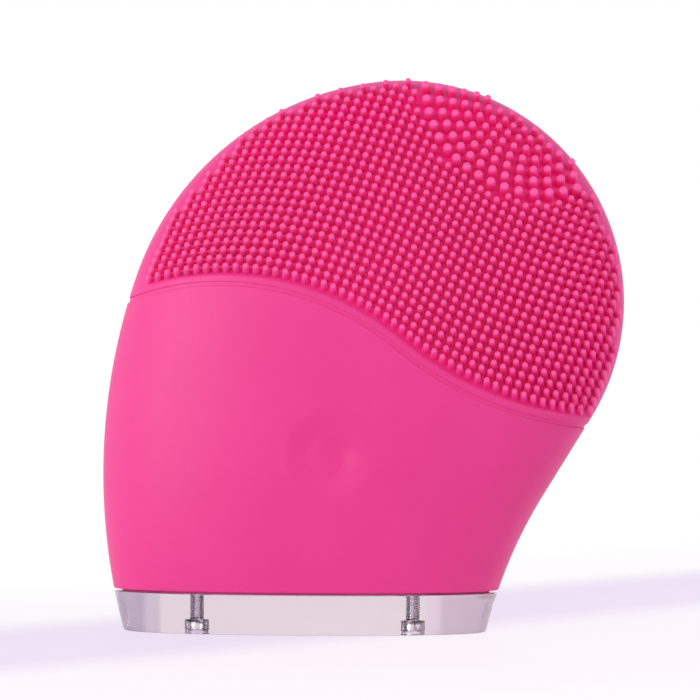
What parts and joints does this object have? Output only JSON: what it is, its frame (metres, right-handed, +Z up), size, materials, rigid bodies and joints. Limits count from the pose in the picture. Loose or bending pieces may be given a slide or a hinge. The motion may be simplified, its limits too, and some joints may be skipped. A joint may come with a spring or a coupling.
{
  "type": "facial cleansing brush",
  "caption": "Hand-held facial cleansing brush: silicone-covered asymmetric body with a bristled round head, dished push button, vibration motor inside and a clear screwed-on foot.",
  "frame": {"origin": "middle of the clear foot's flat rest face", "axes": "+Z up, +X to the right seen from the front, -Y out of the bristled front"},
  "size_m": [0.0813, 0.0329, 0.0863],
  "materials": {
    "silicone": "satin matte moulded silicone",
    "bristle_silicone": "satin moulded silicone",
    "clear_plastic": "polished clear acrylic",
    "steel": "plated steel",
    "dark_rubber": "moulded rubber",
    "crimson_rubber": "moulded rubber",
    "white_plastic": "moulded ABS",
    "board_laminate": "solder-masked laminate",
    "black_plastic": "moulded plastic",
    "battery_foil": "laminated foil",
    "foam": "foam tape",
    "motor_steel": "drawn steel",
    "ferrite": "sintered",
    "bronze": "sintered bronze",
    "copper_windings": "laminations and windings",
    "led_lens": "cast lens",
    "red_insulation": "wire insulation",
    "blue_insulation": "wire insulation"
  },
  "bodies": {
    "body": {"handle_cover": "silicone", "brush_cover": "silicone", "bristle_pad": "bristle_silicone", "clear_base": "clear_plastic", "base_screws": "steel", "base_gasket": "crimson_rubber", "bottom_plate": "white_plastic", "front_shell": "white_plastic", "rear_shell": "white_plastic", "shell_seal": "dark_rubber", "shell_screws": "steel", "circuit_board": "board_laminate", "board_screws": "steel", "board_chips": "black_plastic", "tact_switch": "steel", "battery": "battery_foil", "battery_pad": "foam", "motor_can": "motor_steel", "motor_endcap": "white_plastic", "motor_magnets": "ferrite", "motor_bushes": "bronze", "motor_terminals": "bronze", "motor_sleeve": "dark_rubber", "charge_jack": "black_plastic", "jack_seal": "dark_rubber", "led_board": "board_laminate", "leds": "led_lens", "battery_leads": "red_insulation", "motor_leads": "blue_insulation", "jack_leads": "red_insulation", "led_leads": "blue_insulation"},
    "power_button": {"button_pad": "silicone", "button_plunger": "white_plastic", "switch_stem": "black_plastic"},
    "rotor": {"motor_shaft": "steel", "motor_armature": "copper_windings", "motor_commutator": "bronze", "eccentric_weight": "motor_steel"}
  },
  "joints": [
    {"name": "button_press", "type": "slide", "parent": "body", "child": "power_button", "axis": [0, 1, 0], "range_m": [0, 0.0005], "stiffness_N_per_m": 2400},
    {"name": "rotor_spin", "type": "hinge", "parent": "body", "child": "rotor", "pos_m": [0.01, 0, 0.0586], "axis": [1, 0, 0], "continuous": true}
  ]
}
